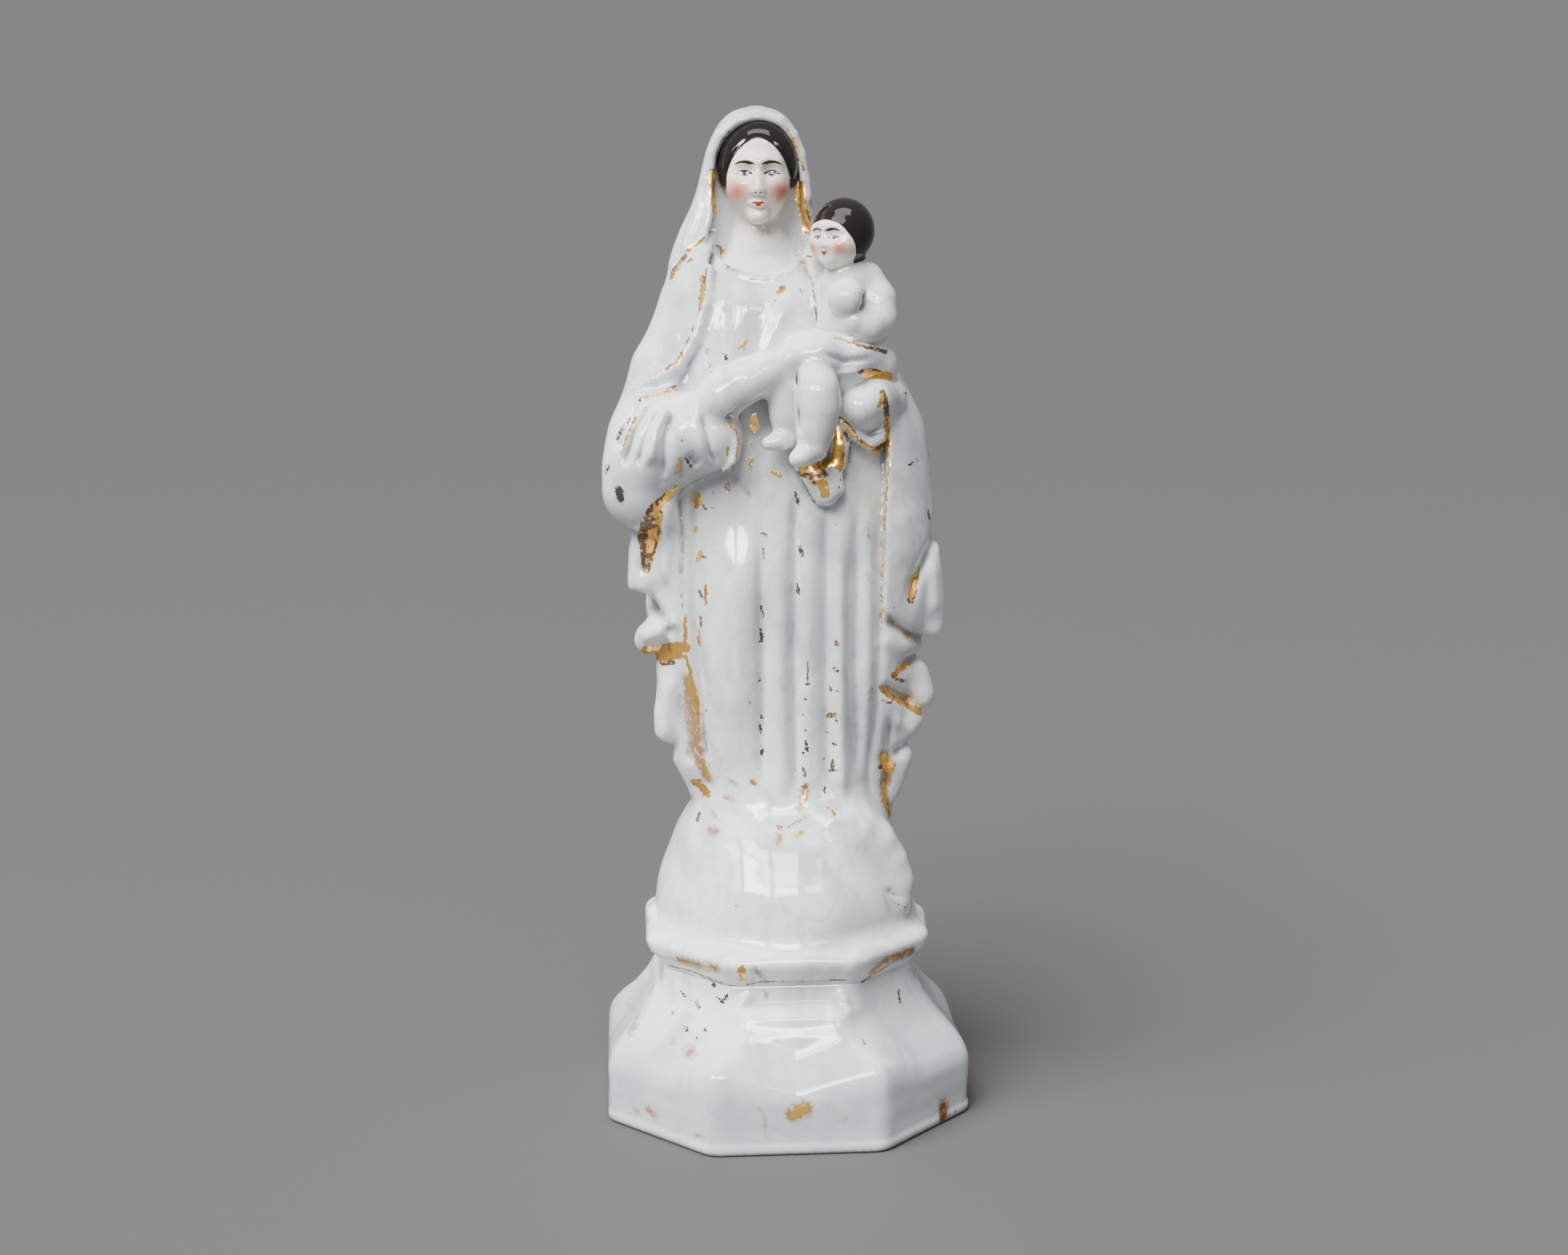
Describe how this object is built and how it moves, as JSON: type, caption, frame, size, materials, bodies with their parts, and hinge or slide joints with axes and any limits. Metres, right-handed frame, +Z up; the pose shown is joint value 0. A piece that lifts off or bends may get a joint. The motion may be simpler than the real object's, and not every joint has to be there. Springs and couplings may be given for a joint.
{
  "type": "madonna and child statuette",
  "caption": "Glazed porcelain statuette: a veiled standing mother holds a child on one arm, on a globe over an eight-sided pedestal.",
  "frame": {"origin": "middle of the pedestal's flat underside", "axes": "+Z up through the standing figure, -Y towards the viewer she faces, +X towards the side on which she carries the child"},
  "size_m": [0.088, 0.088, 0.24],
  "materials": {
    "porcelain": "glossy white glaze, with worn gilding and painted hair and faces"
  },
  "bodies": {
    "root": {"statuette": "porcelain"}
  },
  "joints": []
}
